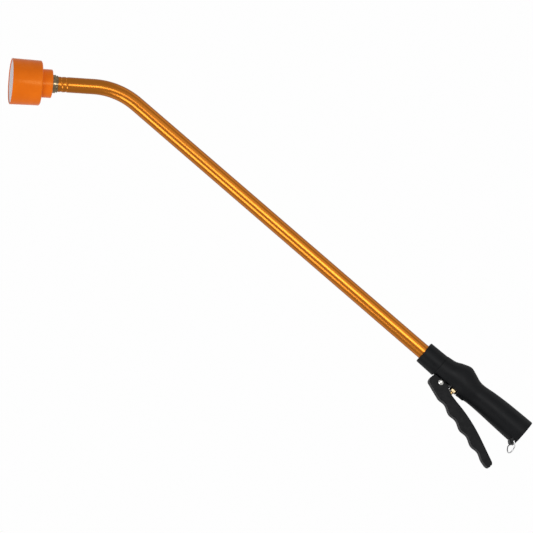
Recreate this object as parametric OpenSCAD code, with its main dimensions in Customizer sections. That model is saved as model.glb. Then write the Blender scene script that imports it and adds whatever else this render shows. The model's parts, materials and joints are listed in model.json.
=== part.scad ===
// Watering wand with a lever valve. Origin at the mouth of the hose inlet, +X out of the inlet,
// +Z up. The lever and the water breaker are on the -Z side.

/* [Tube] */
// Outside diameter of the tube
tube_d = 19.05; // [16:0.05:22]
// Wall of the tube
tube_wall = 1.2; // [0.9:0.1:1.6]
// Where the line of the tube turns, behind the hose inlet's mouth
bend_x = -654.7; // [-700:0.1:-500]
// Turn of the bend
bend_angle = 37.6; // [30:0.1:50]
// Radius of the bend along the tube's axis
bend_r = 88; // [60:1:110]
// How far the tube's axis is below the hose inlet's axis
tube_drop = 3.5; // [2:0.1:5]

/* [Water breaker] */
// Diameter of the breaker at its rim
breaker_d = 57; // [50:0.5:64]
// Length of the breaker without its neck
breaker_len = 37.2; // [28:0.1:44]
// Diameter of the neck
neck_d = 35.3; // [33:0.1:40]
// Length of the neck
neck_len = 13.5; // [13:0.1:20]
// Rings of holes in the face round the middle hole
hole_rings = 9; // [4:1:9]
// Diameter of each hole in the face
hole_d = 1.0; // [0.8:0.1:1.4]

/* [Grip] */
// Front edge of the collar nut
collar_x = -158.3; // [-170:0.1:-156]
// Rear edge of the collar nut
collar_end_x = -132.2; // [-133:0.1:-132.1]
// Largest radius of the collar nut
collar_r = 14.9; // [14:0.1:16]
// Radius of the sleeve at the hose end
sleeve_end_r = 17.8; // [17:0.1:20]

/* [Hose inlet] */
// Radius of the hose thread's plain bore, at its major diameter
inlet_r = 13.5; // [13:0.1:14]
// Depth of the hose thread, down to the washer
inlet_depth = 11.4; // [10:0.1:12]

/* [Lever] */
// Width of the lever
lever_w = 16; // [14:0.5:18]
// Wall of the lever's channel
lever_wall = 2.2; // [1.8:0.1:2.6]
// Lever pivot, along X
pivot_x = -118.4; // [-119.4:0.1:-117.4]
// Lever pivot, along Z
pivot_z = -19.5; // [-20.5:0.1:-19.3]
// Radius of the lever pin
pin_r = 2; // [1.5:0.1:2.2]

/* [Valve] */
// Stem axis, along X
stem_x = -100; // [-102:0.5:-98]
// Radius of the stem
stem_r = 2; // [1.6:0.1:2.2]
// Top of the lever's pad under the stem
pad_z = -26; // [-27:0.5:-25]

/* [Clip] */
// Clip pivot, along X
clip_x = -3.2; // [-4:0.1:-3]
// Clip pivot, along Z
clip_z = -16; // [-16.5:0.1:-15.8]
// Radius of the clip's wire
wire_r = 0.8; // [0.6:0.1:0.9]
// Length of the clip's loop
clip_len = 15; // [14:0.5:18]

/* [Hidden] */
$fn = 64;
e = 0.01;              // overlap that keeps a cut clean
touch = 0.1;           // gap between snug pieces
run = 0.06;            // running clearance round a pin or the stem

tube_r = tube_d / 2;
tube_in_r = tube_r - tube_wall;
tube_z = -tube_drop;
bend_reach = bend_r * tan(bend_angle / 2);

// Places along the head's axis, measured from where the tube's line turns
tube_end_s = 75;
neck_s = 82.2;
cup_s = neck_s + neck_len;
rim_s = cup_s + breaker_len;
face_s = rim_s - 2.9;
crimp_depth = 0.55;
crimp_s = [64.2, 70.3];

// Places along the handle
tube_in_x = -122;      // where the tube ends inside the valve body
socket_x = -145;       // front end of the valve body
socket_r = 12.4;       // valve body round the tube
socket_back_x = -112;
front_r = 11.2;        // valve body between the tube and the stem
mid_r = 12.6;          // valve body behind the chamber
mid_z = -1.1;
rear_r = 15.6;         // valve body round the hose inlet
rear_x = -34;
window_x = -94.2;      // rear end of the sleeve's window over the pivot
window_front_x = -140;
washer_t = 2.6;        // hose washer, in a seat behind the thread
washer_r = 13.1;
washer_x = -inlet_depth - washer_t;

lug_half = 7.6;        // half width of the clip's lug

// Heights in the valve, along the stem
chamber_r = 7;         // spring side of the seat
plug_r = 8;            // bore for the spring cap
low_r = 5.5;           // outlet side of the seat
boss_r = 9.5;
boss_bottom_z = -14.8;
seat_z = -1;           // top of the seat
seat_h = 3;
seal_h = 2;
disc_h = 2;
spring_z = seat_z + seal_h + disc_h;
cap_z = 12.4;          // underside of the spring cap
boss_top_z = 14.1;
cap_top_z = 15.4;
nut_z = -14.85;        // top of the packing nut's hexagon
nut_h = 3.6;
nut_thread = 1.9;
way_out_z = -8.4;       // middle of the way from the chamber to the tube
way_in_z = 6;          // middle of the way from the hose to the chamber

// Squeeze lever
tip_x = -4.8;
front_x = -131.4;
front_room_z = -25.5;  // floor of the room for the lug
in_w = lever_w - 2 * lever_wall;
catch_z = -57.8;       // notch in the tip that the clip holds

// ---------------------------------------------------------------- helpers

// Stands on the head's axis, with +Z pointing from the bend towards the face
module on_head(s = 0) {
    translate([bend_x, 0, tube_z])
        rotate([0, -90 - bend_angle, 0])
            translate([0, 0, s])
                children();
}

// Lies along X from x0, with children drawn along Z
module along_x(x0, z0 = 0) {
    translate([x0, 0, z0])
        rotate([0, 90, 0])
            children();
}

module rod_x(x0, x1, r, z0 = 0) {
    along_x(x0, z0)
        cylinder(h = x1 - x0, r = r);
}

module rod_y(x, z, r, half) {
    translate([x, 0, z])
        rotate([90, 0, 0])
            cylinder(h = 2 * half, r = r, center = true);
}

module at_stem(z0) {
    translate([stem_x, 0, z0])
        children();
}

module ring(r_in, r_out, h) {
    rotate_extrude()
        translate([r_in, 0])
            square([r_out - r_in, h]);
}

module o_ring(r_mid, r_cord) {
    rotate_extrude()
        translate([r_mid, 0])
            circle(r = r_cord, $fn = 32);
}

// ---------------------------------------------------------------- water breaker

cup_r = breaker_d / 2;
cup_rear_r = cup_r - 0.8;
cup_wall = 2.2;
neck_r = neck_d / 2;
edge_r = 2;
thread_len = 11;

module breaker_body() {
    color([0.9, 0.42, 0.12])
        on_head(neck_s)
            difference() {
                rotate_extrude()
                    union() {
                        polygon([
                            [0, 0], [neck_r - 0.8, 0], [neck_r, 0.8], [neck_r, neck_len + e],
                            [0, neck_len + e]
                        ]);
                        polygon([
                            [0, neck_len], [cup_rear_r - edge_r, neck_len],
                            [cup_rear_r, neck_len + edge_r], [cup_r, neck_len + breaker_len],
                            [0, neck_len + breaker_len]
                        ]);
                        translate([cup_rear_r - edge_r, neck_len + edge_r])
                            circle(r = edge_r, $fn = 32);
                    }
                translate([0, 0, -e])
                    cylinder(h = thread_len + e, r = inlet_r);
                cylinder(h = neck_len + breaker_len, r = 9);
                translate([0, 0, neck_len + cup_wall])
                    cylinder(h = breaker_len, r = cup_rear_r - cup_wall);
                translate([0, 0, face_s - neck_s])
                    cylinder(h = breaker_len, r = cup_r - 1.5);
            }
}

// Rings of holes, six more in each ring than in the one inside it
module face_holes(rings, pitch, d) {
    circle(d = d, $fn = 16);
    for (k = [1:rings])
        for (i = [0:6 * k - 1])
            rotate(i * 60 / k)
                translate([k * pitch, 0])
                    circle(d = d, $fn = 16);
}

module breaker_face() {
    color([0.79, 0.77, 0.81])
        on_head(face_s)
            linear_extrude(height = 1.9)
                difference() {
                    circle(r = cup_r - 1.5 - touch);
                    face_holes(hole_rings, 2.7, hole_d);
                }
}

module breaker_diffuser() {
    r = cup_rear_r - cup_wall - touch;
    color([0.85, 0.85, 0.83])
        on_head(cup_s + cup_wall)
            difference() {
                union() {
                    ring(r - 1.6, r, 10);
                    translate([0, 0, 8])
                        cylinder(h = 2, r = r - 1);
                    translate([0, 0, 3])
                        cylinder(h = 6, r1 = 2, r2 = 7);
                }
                for (i = [0:11])
                    rotate(i * 30)
                        translate([17, 0, 7])
                            cylinder(h = 4, r = 2.2);
            }
}

module breaker_washer() {
    color([0.12, 0.12, 0.12])
        on_head(neck_s + thread_len - 2.5)
            ring(8.2, 12.6, 2.4);
}

// ---------------------------------------------------------------- tube and its nipple

module head_nipple() {
    flange_s = tube_end_s + 0.2;
    front_s = neck_s + thread_len - 2.6;
    color([0.8, 0.8, 0.78])
        on_head()
            difference() {
                union() {
                    translate([0, 0, 52])
                        cylinder(h = flange_s - 52, r = tube_in_r - crimp_depth - touch);
                    translate([0, 0, flange_s])
                        cylinder(h = 1.6, r = 10.6);
                    translate([0, 0, flange_s + 1.5])
                        cylinder(h = 1.1, r = 9.8);
                    translate([0, 0, flange_s + 2.5])
                        cylinder(h = 4, r = 11.35);
                    translate([0, 0, neck_s - 0.6])
                        cylinder(h = front_s - neck_s + 0.6, r = inlet_r - touch);
                }
                translate([0, 0, 51])
                    cylinder(h = front_s - 50, r = 6);
                for (s = crimp_s)
                    translate([0, 0, s + 3])
                        o_ring(tube_in_r - crimp_depth, 0.95);
            }
}

module head_nipple_o_rings() {
    color([0.1, 0.1, 0.1])
        for (s = crimp_s)
            on_head(s + 3)
                o_ring(tube_in_r - crimp_depth - 0.2, 0.7);
}

module wand_tube() {
    straight = tube_end_s - bend_reach;
    run_x = bend_x + bend_reach;
    set_in = 0.2;
    color([0.86, 0.55, 0.12])
        union() {
            along_x(run_x, tube_z)
                difference() {
                    cylinder(h = tube_in_x - run_x, r = tube_r);
                    translate([0, 0, -1])
                        cylinder(h = tube_in_x - run_x + 2, r = tube_in_r);
                }
            translate([run_x, 0, tube_z - bend_r])
                rotate([90, 0, 0])
                    rotate([0, 0, 90])
                        rotate_extrude(angle = bend_angle)
                            translate([bend_r, 0])
                                difference() {
                                    circle(r = tube_r);
                                    circle(r = tube_in_r);
                                }
            // a hair thinner than the bend, so that its end sits inside the bend's end
            on_head(bend_reach - set_in)
                difference() {
                    cylinder(h = straight + set_in, r = tube_r - e);
                    translate([0, 0, -1])
                        cylinder(h = straight + 2, r = tube_in_r + e);
                    for (s = crimp_s)
                        translate([0, 0, s - bend_reach + set_in])
                            rotate_extrude()
                                translate([tube_r + 1.6 - crimp_depth, 0])
                                    circle(r = 1.6, $fn = 32);
                }
        }
}

// ---------------------------------------------------------------- where the tube enters the grip

module tube_collar() {
    len = collar_end_x - collar_x;
    color([0.09, 0.09, 0.1])
        along_x(collar_x, tube_z)
            difference() {
                rotate_extrude()
                    polygon([
                        [0, 0], [collar_r - 1.4, 0], [collar_r - 0.6, 0.8], [collar_r, len - 0.6],
                        [collar_r - 0.6, len], [0, len]
                    ]);
                translate([0, 0, -1])
                    cylinder(h = len + 2, r = tube_r + touch);
                translate([0, 0, socket_x - collar_x - 5])
                    cylinder(h = len, r = socket_r + touch);
            }
}

module tube_clamp_ring() {
    color([0.75, 0.75, 0.72])
        along_x(socket_x - 4.4, tube_z)
            difference() {
                cylinder(h = 4.2, r1 = 12, r2 = 11);
                translate([0, 0, -1])
                    cylinder(h = 7, r = tube_r + touch);
                translate([0, -0.8, -1])
                    cube([15, 1.6, 7]);
            }
}

module tube_o_ring() {
    color([0.1, 0.1, 0.1])
        along_x(-130, tube_z)
            o_ring(tube_r + 0.8 + touch, 0.8);
}

// ---------------------------------------------------------------- valve body and its sleeve

module lever_lug() {
    half = in_w / 2 - 0.4;
    rod_y(pivot_x, pivot_z, 4.4, half);
    translate([pivot_x - 4.4, -half, pivot_z])
        cube([8.8, 2 * half, tube_z - front_r / 2 - pivot_z]);
}

module clip_lug() {
    translate([clip_x - 4.6, -lug_half, clip_z - 2])
        cube([7.6, 2 * lug_half, 4.6]);
    rod_y(clip_x, clip_z - 0.4, 2.7, lug_half);
    rotate([90, 0, 0])
        linear_extrude(height = 13, center = true)
            polygon([
                [clip_x - 5.7, clip_z + 2.4], [clip_x - 5.7, clip_z - 1.5], [clip_x - 2.7, clip_z - 4.1],
                [clip_x + 0.6, clip_z - 4.2], [clip_x + 0.6, clip_z + 2.4]
            ]);
}

module body_outside() {
    rod_x(socket_x, socket_back_x, socket_r, tube_z);
    rod_x(socket_back_x - 1, stem_x, front_r, tube_z);
    rod_x(stem_x, rear_x + 12, mid_r, mid_z);
    along_x(-52, 0)
        cylinder(h = 22, r1 = 10, r2 = rear_r);
    rod_x(-30.5, 0, rear_r);
    at_stem(boss_bottom_z)
        cylinder(h = boss_top_z - boss_bottom_z, r = boss_r);
}

module valve_body() {
    color([0.1, 0.1, 0.11])
        difference() {
            union() {
                body_outside();
                lever_lug();
                clip_lug();
            }
            // socket for the tube, with the O-ring's groove, and the way to the chamber
            rod_x(socket_x - 1, tube_in_x + 0.2, tube_r + touch, tube_z);
            along_x(-130, tube_z)
                o_ring(tube_r + 0.8 + touch, 0.95);
            rod_x(tube_in_x, stem_x, 4, way_out_z);
            // chamber: spring side above the seat, outlet side below it
            at_stem(0)
                rotate_extrude()
                    polygon([
                        [0, boss_bottom_z - 3], [4.2, boss_bottom_z - 3],
                        [4.2, boss_bottom_z + nut_thread], [low_r, boss_bottom_z + nut_thread],
                        [low_r, seat_z - seat_h], [chamber_r, seat_z - seat_h],
                        [chamber_r, cap_z - 1], [plug_r, cap_z - 1],
                        [plug_r, boss_top_z + 9], [0, boss_top_z + 9]
                    ]);
            // way in from the hose
            rod_x(stem_x, rear_x + 14, 4.6, way_in_z);
            along_x(0, 0)
                rotate_extrude()
                    polygon([
                        [0, -32], [8, -32], [12, -18], [12, washer_x],
                        [washer_r + touch, washer_x], [washer_r + touch, -inlet_depth],
                        [inlet_r, -inlet_depth], [inlet_r, 1], [0, 1]
                    ]);
            // pivots
            rod_y(pivot_x, pivot_z, pin_r + 0.02, 12);
            rod_y(clip_x, clip_z, wire_r + run, 12);
        }
}

// The sleeve's stations: x, height of the middle, half height, half width
stations = [
    [-132, -3.4, 15.3, 15.0],
    [-120, -2.6, 16.2, 15.6],
    [-112.5, -0.8, 18.0, 16.1],
    [-101, 1.0, 19.8, 16.5],
    [-92, -0.1, 18.4, 16.3],
    [-82, -1.1, 15.7, 15.6],
    [-74, -1.1, 15.1, 15.2],
    [-58, -0.3, 16.0, 16.0],
    [-40, 0, 16.9, 16.9],
    [-20, 0, 17.5, 17.5],
    [0, 0, sleeve_end_r, sleeve_end_r]
];
slices = 3;            // slices between two stations
sides = 36;

function spline(a, b, c, d, u) =
    0.5 * (2 * b + (c - a) * u + (2 * a - 5 * b + 4 * c - d) * u * u
           + (3 * b - a - 3 * c + d) * u * u * u);
function station(i) = stations[max(0, min(len(stations) - 1, i))];
function slice(k) =
    let (i = min(floor(k / slices), len(stations) - 2))
    let (u = k / slices - i)
    [for (j = [0:3]) j == 0
        ? station(i)[0] + u * (station(i + 1)[0] - station(i)[0])
        : spline(station(i - 1)[j], station(i)[j], station(i + 1)[j], station(i + 2)[j], u)];
slice_count = slices * (len(stations) - 1) + 1;

module sleeve_outside() {
    points = [
        for (k = [0:slice_count - 1])
            let (s = slice(k))
            for (i = [0:sides - 1])
                let (a = i * 360 / sides)
                [s[0], s[3] * cos(a), s[1] + s[2] * sin(a)]
    ];
    walls = [
        for (k = [0:slice_count - 2])
            for (i = [0:sides - 1])
                let (a = k * sides + i)
                let (b = k * sides + (i + 1) % sides)
                each [[a, b + sides, b], [a, a + sides, b + sides]]
    ];
    last = (slice_count - 1) * sides;
    front_end = [for (i = [1:sides - 2]) [0, i, i + 1]];
    rear_end = [for (i = [1:sides - 2]) [last, last + i + 1, last + i]];
    polyhedron(points = points, faces = concat(walls, front_end, rear_end));
}

module sleeve_inside() {
    g = touch;
    rod_x(socket_x, socket_back_x + g, socket_r + g, tube_z);
    rod_x(socket_back_x - 1, stem_x, front_r + g, tube_z);
    rod_x(stem_x, rear_x + 12, mid_r + g, mid_z);
    along_x(-52, 0)
        cylinder(h = 22, r1 = 10 + g, r2 = rear_r + g);
    rod_x(-30.5, 1, rear_r + g);
    at_stem(boss_bottom_z - 1)
        cylinder(h = cap_top_z + 0.2 - boss_bottom_z + 1, r = boss_r + g);
}

// Rib behind the packing nut, between the lever's walls
module sleeve_rib() {
    rib_r = 5.2;
    rib_z = -13.2;
    rib_end_x = -84;
    rod_x(window_x, rib_end_x, rib_r, rib_z);
    along_x(rib_end_x, rib_z)
        cylinder(h = 5, r1 = rib_r, r2 = 1.5);
}

module grip_sleeve() {
    window_half = 9.4;
    color([0.08, 0.08, 0.09])
        difference() {
            difference() {
                union() {
                    sleeve_outside();
                    sleeve_rib();
                }
                sleeve_inside();
            }
            translate([window_front_x, -window_half, -30])
                cube([window_x - window_front_x, 2 * window_half, 30 - 8]);
            translate([clip_x - 6, -11, -30])
                cube([20, 22, 30 - 11]);
        }
}

// ---------------------------------------------------------------- hose inlet

module hose_washer() {
    color([0.15, 0.15, 0.15])
        along_x(washer_x, 0)
            ring(7.5, washer_r, washer_t);
}

module inlet_screen() {
    color([0.7, 0.7, 0.7])
        along_x(washer_x - 0.9, 0)
            linear_extrude(height = 0.8)
                difference() {
                    circle(r = 11.9);
                    for (i = [-4:4])
                        for (j = [-4:4])
                            if (norm([i, j]) < 4.4)
                                translate([i * 2.2, j * 2.2])
                                    square(1.5, center = true);
                }
}

// ---------------------------------------------------------------- valve

module valve_seat() {
    color([0.8, 0.66, 0.32])
        at_stem(seat_z - seat_h)
            difference() {
                cylinder(h = seat_h, r = chamber_r - touch);
                translate([0, 0, -1])
                    cylinder(h = seat_h + 2, r = 4.4);
            }
}

module poppet_seal() {
    color([0.12, 0.12, 0.12])
        at_stem(seat_z + 0.05)
            ring(stem_r + 0.1, 6, seal_h - 0.1);
}

module poppet() {
    color([0.8, 0.66, 0.32])
        at_stem(seat_z + seal_h)
            difference() {
                union() {
                    cylinder(h = disc_h, r = 6.2);
                    cylinder(h = disc_h + 0.8, r = 3.6);
                }
                translate([0, 0, -1])
                    cylinder(h = disc_h + 4, r = stem_r + 0.02);
            }
}

module poppet_nut() {
    color([0.8, 0.66, 0.32])
        at_stem(seat_z + seal_h + disc_h + 0.85)
            difference() {
                cylinder(h = 1.3, r = 3.2, $fn = 6);
                translate([0, 0, -1])
                    cylinder(h = 4, r = stem_r + 0.02);
            }
}

module valve_stem() {
    top = spring_z + 2.4;
    tip = pad_z + 0.15;
    color([0.83, 0.68, 0.33])
        union() {
            at_stem(tip + stem_r)
                cylinder(h = top - tip - stem_r, r = stem_r);
            at_stem(tip + stem_r)
                sphere(r = stem_r);
            at_stem(seat_z - 0.9)
                cylinder(h = 0.9, r = 3.2);
        }
}

// A wire along a list of points, with 8 sides
function unit(v) = v / norm(v);
function way(p, i) = unit(p[min(i + 1, len(p) - 1)] - p[max(i - 1, 0)]);
function wire_ring(p, i, r, n, side) =
    let (t = way(p, i))
    let (a = unit(side - (side * t) * t))
    let (b = cross(t, a))
    [for (k = [0:n - 1]) p[i] + r * (cos(k * 360 / n) * a + sin(k * 360 / n) * b)];

module wire(p, r, side, n = 8) {
    rings = len(p);
    points = [for (i = [0:rings - 1]) each wire_ring(p, i, r, n, side)];
    walls = [
        for (i = [0:rings - 2])
            for (k = [0:n - 1])
                let (a = i * n + k)
                let (b = i * n + (k + 1) % n)
                each [[a, b + n, b], [a, a + n, b + n]]
    ];
    last = (rings - 1) * n;
    ends = concat(
        [for (k = [1:n - 2]) [0, k, k + 1]],
        [for (k = [1:n - 2]) [last, last + k + 1, last + k]]
    );
    polyhedron(points = points, faces = concat(walls, ends));
}

module valve_spring() {
    turns = 3.5;
    steps = 14;
    wire_d = 0.8;
    low = spring_z + 0.05 + wire_d / 2;
    span = cap_z - low - wire_d / 2 - 0.05;
    color([0.75, 0.75, 0.77])
        at_stem(low)
            wire(
                [for (i = [0:turns * steps])
                    let (f = i / turns / steps)
                    let (r = 5.6 - 1.5 * f)
                    [r * cos(i * 360 / steps), r * sin(i * 360 / steps), span * f]],
                wire_d / 2, [0, 0, 1]
            );
}

module spring_cap() {
    color([0.1, 0.1, 0.11])
        at_stem(cap_z)
            difference() {
                union() {
                    cylinder(h = cap_top_z - cap_z, r = plug_r - touch);
                    translate([0, 0, boss_top_z - cap_z + 0.02])
                        cylinder(h = cap_top_z - boss_top_z - 0.02, r = boss_r - 0.2);
                }
                translate([-5, -0.9, cap_top_z - cap_z - 1])
                    cube([10, 1.8, 3]);
                translate([0, 0, 0.8])
                    o_ring(plug_r - 0.4, 0.5);
            }
}

module cap_o_ring() {
    color([0.12, 0.12, 0.12])
        at_stem(cap_z + 0.8)
            o_ring(plug_r - 0.46, 0.4);
}

module packing_nut() {
    color([0.82, 0.82, 0.82])
        at_stem(nut_z - nut_h)
            difference() {
                union() {
                    cylinder(h = nut_h - 0.05, r = 5.1, $fn = 6);
                    cylinder(h = nut_h + nut_thread - 0.1, r = 4.1);
                }
                translate([0, 0, -1])
                    cylinder(h = nut_h + 6, r = stem_r + run);
                translate([0, 0, nut_h - 0.7])
                    cylinder(h = 4, r = 3.4);
            }
}

module stem_o_rings() {
    color([0.12, 0.12, 0.12])
        for (k = [0:1])
            at_stem(nut_z - 0.05 + 1.25 * k)
                o_ring(2.72, 0.6);
}

// ---------------------------------------------------------------- lever

ridge_x = -107.9;      // first finger ridge
ridge_pitch = 22.8;
scallop = 1.3;         // half the depth of the finger scallops
last_ridge_x = ridge_x + 4 * ridge_pitch;

// Outline of the ears round the pin, before the pivot and behind it
ear_front = [
    [-128.6, -16.2], [-130.2, -16.9], [-131.2, -18.6], [-131.9, -21.5], [-131.9, -24.5],
    [-131.2, -26.9], [-129.6, -28.5]
];
ear_back = [
    [-88, inner_z(-88)], [-97, inner_z(-97)], [-104.8, -20], [-107.4, -17.8], [-109.4, -16.6],
    [-112, -16.2]
];

function outer_z(x) =
    -38.2 - 0.267 * (x + 94.3)
    - scallop * (x > last_ridge_x ? 1 : cos(360 * (x - ridge_x) / ridge_pitch));
function inner_z(x) =
    x < -88 ? -25.1 - 0.22 * (x + 88)
    : x < -35.2 ? -25.1 - 0.15 * (x + 88) - 0.0028 * pow(x + 88, 2)
    : -40.8 - 0.45 * (x + 35.2);

module lever_side() {
    polygon(concat(
        ear_front,
        [for (x = [-109.5:2.5:-11]) [x, outer_z(x)]],
        [[tip_x - 5, outer_z(-9.2) + 0.3], [tip_x - 2.2, outer_z(-9.2) + 0.5], [tip_x - 0.6, -60.4],
         [tip_x, -58.6], [tip_x, inner_z(tip_x) - 2.2], [tip_x - 0.7, inner_z(tip_x) - 0.6],
         [tip_x - 2.2, inner_z(tip_x - 2.2)]],
        [for (x = [-12:-6:-84]) [x, inner_z(x)]],
        ear_back
    ));
}

module squeeze_lever() {
    floor_t = 2.6;
    color([0.1, 0.1, 0.11])
        difference() {
            rotate([90, 0, 0])
                linear_extrude(height = lever_w, center = true)
                    lever_side();
            // channel behind the stem's pad, open towards the grip
            rotate([90, 0, 0])
                linear_extrude(height = in_w, center = true)
                    polygon(concat(
                        [[-94.5, 0]],
                        [for (x = [-94.5:5.7:-9]) [x, outer_z(x) + floor_t + scallop]],
                        [[tip_x - 3, -57], [tip_x - 3, 0]]
                    ));
            // room for the lug, in front of the stem's pad
            translate([front_x + 3, -in_w / 2, front_room_z])
                cube([-105.5 - front_x - 3, in_w, 40]);
            translate([-106, -in_w / 2, pad_z])
                cube([12, in_w, 40]);
            rod_y(pivot_x, pivot_z, pin_r + run, 12);
            // catch for the clip
            rod_y(tip_x, catch_z, 1.2, 12);
        }
}

module lever_pin() {
    half = lever_w / 2;
    color([0.86, 0.86, 0.86])
        union() {
            rod_y(pivot_x, pivot_z, pin_r, half + 0.3);
            translate([pivot_x, -half - 0.25, pivot_z])
                rotate([90, 0, 0])
                    intersection() {
                        cylinder(h = 1.7, r = 3.5);
                        translate([0, 0, -3])
                            sphere(r = 4.7);
                    }
        }
}

module lever_pin_cap() {
    half = lever_w / 2;
    color([0.8, 0.8, 0.8])
        translate([pivot_x, half + 0.35, pivot_z])
            rotate([-90, 0, 0])
                cylinder(h = 1.4, r = 3.4);
}

// ---------------------------------------------------------------- clip

clip_lean = 21;        // how far the loop hangs behind straight down
clip_half = 9.2;       // half width of the loop at its top
clip_turn = 20;        // turn of the loop about its own length

// The loop in its own plane: u across, v down, from one end of the wire to the other
function loop_u(a) = clip_half * cos(a);
function loop_v(a) = (clip_len - wire_r) * pow(sin(a), 0.75);

module hold_open_clip() {
    legs = [
        for (a = [0:9:180])
            let (v = loop_v(a))
            let (w = min(1, v / 6))
            let (u = loop_u(a))
            let (t = clip_turn * w)
            [u * sin(t), -u * cos(t), -v]
    ];
    inner_end = 2.4;
    path = concat([[0, -inner_end, 0], [0, -clip_half + 1.6, 0]], legs,
                  [[0, clip_half - 1.6, 0], [0, inner_end, 0]]);
    color([0.85, 0.85, 0.86])
        translate([clip_x, 0, clip_z])
            rotate([0, -clip_lean, 0])
                wire(path, wire_r, [1, 0, 0.01]);
}

// ---------------------------------------------------------------- all

breaker_body();
breaker_face();
breaker_diffuser();
breaker_washer();
head_nipple();
head_nipple_o_rings();
wand_tube();
tube_collar();
tube_clamp_ring();
tube_o_ring();
valve_body();
grip_sleeve();
hose_washer();
inlet_screen();
valve_seat();
poppet();
poppet_seal();
poppet_nut();
valve_stem();
valve_spring();
spring_cap();
cap_o_ring();
packing_nut();
stem_o_rings();
squeeze_lever();
lever_pin();
lever_pin_cap();
hold_open_clip();
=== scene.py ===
"""Looks of the watering wand: materials, detailed pieces, studio and camera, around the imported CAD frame.
Lengths are in metres in the row frame. The numbers in millimetres below repeat the CAD design's own."""
import json
import math

import bmesh
import bpy
from mathutils import Matrix, Vector


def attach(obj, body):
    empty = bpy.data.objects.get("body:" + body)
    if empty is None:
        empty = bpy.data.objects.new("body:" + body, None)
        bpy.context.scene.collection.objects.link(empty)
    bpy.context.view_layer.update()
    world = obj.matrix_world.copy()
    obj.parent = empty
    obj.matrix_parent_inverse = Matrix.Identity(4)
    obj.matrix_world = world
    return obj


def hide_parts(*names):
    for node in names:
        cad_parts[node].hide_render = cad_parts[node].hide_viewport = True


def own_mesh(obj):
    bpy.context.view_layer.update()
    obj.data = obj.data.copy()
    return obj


MM = 0.001
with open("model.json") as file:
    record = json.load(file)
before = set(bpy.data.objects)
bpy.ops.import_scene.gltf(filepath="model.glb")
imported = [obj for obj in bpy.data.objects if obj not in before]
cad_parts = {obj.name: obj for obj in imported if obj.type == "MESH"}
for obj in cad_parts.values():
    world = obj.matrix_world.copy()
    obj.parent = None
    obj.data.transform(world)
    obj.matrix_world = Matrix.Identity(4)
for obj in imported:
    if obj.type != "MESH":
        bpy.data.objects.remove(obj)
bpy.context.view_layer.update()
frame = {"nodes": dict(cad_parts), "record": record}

# ---------------------------------------------------------------- the CAD design's dimensions, in mm

TUBE_R, TUBE_WALL, TUBE_Z = 9.525, 1.2, -3.5
BEND_X, BEND_R, BEND_DEG = -654.7, 88.0, 37.6
TUBE_IN_X, TUBE_END_S = -122.0, 75.0
CRIMP_S, CRIMP_DEPTH = (64.2, 70.3), 0.55
NECK_S, NECK_LEN, NECK_R = 82.2, 13.5, 17.65
CUP_R, CUP_REAR_R, CUP_LEN, CUP_WALL = 28.5, 27.7, 37.2, 2.2
COLLAR_X, COLLAR_END_X, COLLAR_R = -158.3, -132.2, 14.9
SOCKET_X, SOCKET_BACK_X, SOCKET_R, FRONT_R = -145.0, -112.0, 12.4, 11.2
MID_R, MID_Z, CONE_R, REAR_R, REAR_X = 12.6, -1.1, 10.0, 15.6, -34.0
STEM_X, BOSS_R, BOSS_BOTTOM_Z, CAP_TOP_Z = -100.0, 9.5, -14.8, 15.4
PIVOT_X, PIVOT_Z, PIN_R = -118.4, -19.5, 2.0
LEVER_W, LEVER_WALL, FRONT_X, TIP_X, CATCH_Z = 16.0, 2.2, -131.4, -4.8, -57.8
PAD_Z, FRONT_ROOM_Z, WINDOW_X = -26.0, -25.5, -94.2
CLIP_X, CLIP_Z, WIRE_R, CLIP_LEN, CLIP_HALF = -3.2, -16.0, 0.8, 15.0, 9.2
CLIP_LEAN, CLIP_TURN = 21.0, 20.0
THREAD_DEPTH, THREAD_R = 11.4, 13.5
SPRING_TURNS, SPRING_LOW_Z, SPRING_HIGH_Z, SPRING_WIRE_R = 3.5, 3.45, 11.95, 0.4

# ---------------------------------------------------------------- mesh helpers


def head_matrix(s=0.0):
    """Stands on the head's axis at distance s from where the tube's line turns, +Z towards the face."""
    turn = Matrix.Rotation(math.radians(-90 - BEND_DEG), 4, "Y")
    return Matrix.Translation((BEND_X * MM, 0, TUBE_Z * MM)) @ turn @ Matrix.Translation((0, 0, s * MM))


def x_matrix(x0, z0=0.0):
    """Lies along +X from x0 at height z0."""
    return Matrix.Translation((x0 * MM, 0, z0 * MM)) @ Matrix.Rotation(math.radians(90), 4, "Y")


def make_object(name, verts, faces, smooth_deg=40.0):
    """A mesh object from points in metres, smooth but for edges sharper than smooth_deg."""
    mesh = bpy.data.meshes.new(name)
    mesh.from_pydata(verts, [], faces)
    mesh.validate()
    bm = bmesh.new()
    bm.from_mesh(mesh)
    bmesh.ops.remove_doubles(bm, verts=bm.verts, dist=1e-7)
    bmesh.ops.recalc_face_normals(bm, faces=bm.faces)
    bm.to_mesh(mesh)
    bm.free()
    shade(mesh, smooth_deg)
    obj = bpy.data.objects.new(name, mesh)
    bpy.context.scene.collection.objects.link(obj)
    return obj


def shade(mesh, smooth_deg):
    """Smooth faces, with sharp edges where two faces meet at more than smooth_deg."""
    bm = bmesh.new()
    bm.from_mesh(mesh)
    for f in bm.faces:
        f.smooth = True
    for e in bm.edges:
        e.smooth = len(e.link_faces) == 2 and e.calc_face_angle(0.0) < math.radians(smooth_deg)
    bm.to_mesh(mesh)
    bm.free()


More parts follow.
